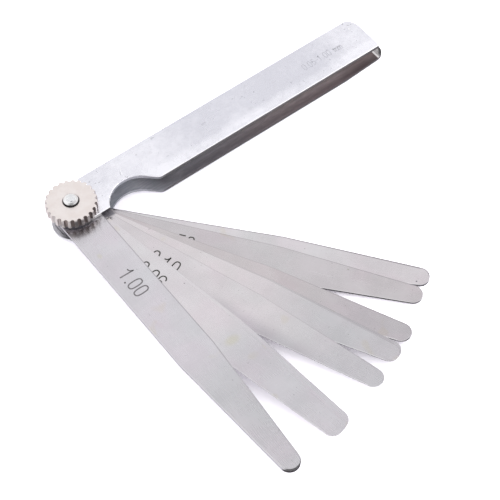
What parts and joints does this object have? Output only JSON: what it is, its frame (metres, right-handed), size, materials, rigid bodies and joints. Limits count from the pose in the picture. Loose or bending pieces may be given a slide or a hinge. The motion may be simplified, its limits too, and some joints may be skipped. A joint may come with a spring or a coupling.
{
  "type": "feeler gauge",
  "caption": "Thickness gauge set: tapered steel blades fan out on a pivot screw from a folded sheet-steel case and are clamped by a toothed thumb nut.",
  "frame": {"origin": "centre of the flat outer face of the case's folded spine; the pivot axis passes through (-51.25, -7.6) mm", "axes": "+X along the case away from the pivot, +Y out of the spine face, +Z along the pivot axis from the screw head towards the thumb nut"},
  "size_m": [0.1102, 0.1034, 0.0123],
  "materials": {
    "case_steel": "bright nickel-plated sheet with fine scratches",
    "blade_steel": "satin ground spring steel",
    "nut_nickel": "warm matt nickel plate",
    "screw_steel": "bright zinc plate",
    "marking_black": "etched black figures"
  },
  "bodies": {
    "case": {"case": "case_steel"},
    "blade_0_75": {"blade_0_75": "blade_steel"},
    "blade_0_50": {"blade_0_50": "blade_steel"},
    "blade_0_40": {"blade_0_40": "blade_steel"},
    "blade_0_30": {"blade_0_30": "blade_steel"},
    "blade_0_25": {"blade_0_25": "blade_steel"},
    "blade_0_20": {"blade_0_20": "blade_steel"},
    "blade_0_15": {"blade_0_15": "blade_steel"},
    "blade_0_10": {"blade_0_10": "blade_steel"},
    "blade_0_09": {"blade_0_09": "blade_steel"},
    "blade_0_08": {"blade_0_08": "blade_steel"},
    "blade_0_07": {"blade_0_07": "blade_steel"},
    "blade_0_06": {"blade_0_06": "blade_steel"},
    "blade_0_05": {"blade_0_05": "blade_steel"},
    "blade_1_00": {"blade_1_00": "blade_steel"},
    "thumb_nut": {"thumb_nut": "nut_nickel"},
    "pivot_screw": {"pivot_screw": "screw_steel"}
  },
  "joints": [
    {"name": "blade_0_75_pivot", "type": "hinge", "parent": "case", "child": "blade_0_75", "pos_m": [-0.05125, -0.0076, -0.0035], "axis": [0, 0, 1], "range_deg": [-215.75, 49.25]},
    {"name": "blade_0_50_pivot", "type": "hinge", "parent": "case", "child": "blade_0_50", "pos_m": [-0.05125, -0.0076, -0.0035], "axis": [0, 0, 1], "range_deg": [-211.92, 53.08]},
    {"name": "blade_0_40_pivot", "type": "hinge", "parent": "case", "child": "blade_0_40", "pos_m": [-0.05125, -0.0076, -0.0035], "axis": [0, 0, 1], "range_deg": [-204.43, 60.57]},
    {"name": "blade_0_30_pivot", "type": "hinge", "parent": "case", "child": "blade_0_30", "pos_m": [-0.05125, -0.0076, -0.0035], "axis": [0, 0, 1], "range_deg": [-204.22, 60.78]},
    {"name": "blade_0_25_pivot", "type": "hinge", "parent": "case", "child": "blade_0_25", "pos_m": [-0.05125, -0.0076, -0.0035], "axis": [0, 0, 1], "range_deg": [-200.45, 64.55]},
    {"name": "blade_0_20_pivot", "type": "hinge", "parent": "case", "child": "blade_0_20", "pos_m": [-0.05125, -0.0076, -0.0035], "axis": [0, 0, 1], "range_deg": [-200.15, 64.85]},
    {"name": "blade_0_15_pivot", "type": "hinge", "parent": "case", "child": "blade_0_15", "pos_m": [-0.05125, -0.0076, -0.0035], "axis": [0, 0, 1], "range_deg": [-199.85, 65.15]},
    {"name": "blade_0_10_pivot", "type": "hinge", "parent": "case", "child": "blade_0_10", "pos_m": [-0.05125, -0.0076, -0.0035], "axis": [0, 0, 1], "range_deg": [-194.58, 70.42]},
    {"name": "blade_0_09_pivot", "type": "hinge", "parent": "case", "child": "blade_0_09", "pos_m": [-0.05125, -0.0076, -0.0035], "axis": [0, 0, 1], "range_deg": [-185.35, 79.65]},
    {"name": "blade_0_08_pivot", "type": "hinge", "parent": "case", "child": "blade_0_08", "pos_m": [-0.05125, -0.0076, -0.0035], "axis": [0, 0, 1], "range_deg": [-184.85, 80.15]},
    {"name": "blade_0_07_pivot", "type": "hinge", "parent": "case", "child": "blade_0_07", "pos_m": [-0.05125, -0.0076, -0.0035], "axis": [0, 0, 1], "range_deg": [-184.35, 80.65]},
    {"name": "blade_0_06_pivot", "type": "hinge", "parent": "case", "child": "blade_0_06", "pos_m": [-0.05125, -0.0076, -0.0035], "axis": [0, 0, 1], "range_deg": [-183.88, 81.12]},
    {"name": "blade_0_05_pivot", "type": "hinge", "parent": "case", "child": "blade_0_05", "pos_m": [-0.05125, -0.0076, -0.0035], "axis": [0, 0, 1], "range_deg": [-175.35, 89.65]},
    {"name": "blade_1_00_pivot", "type": "hinge", "parent": "case", "child": "blade_1_00", "pos_m": [-0.05125, -0.0076, -0.0035], "axis": [0, 0, 1], "range_deg": [-175.05, 89.95]},
    {"name": "nut_turn", "type": "hinge", "parent": "case", "child": "thumb_nut", "pos_m": [-0.05125, -0.0076, 0.0035], "axis": [0, 0, 1], "range_deg": [0, 721]},
    {"name": "screw_slide", "type": "slide", "parent": "case", "child": "pivot_screw", "axis": [0, 0, 1], "range_m": [-0.0014, 0]}
  ],
  "couplings": [
    {"joint": "nut_turn", "follows": "screw_slide", "rad_per_m": -8976}
  ]
}
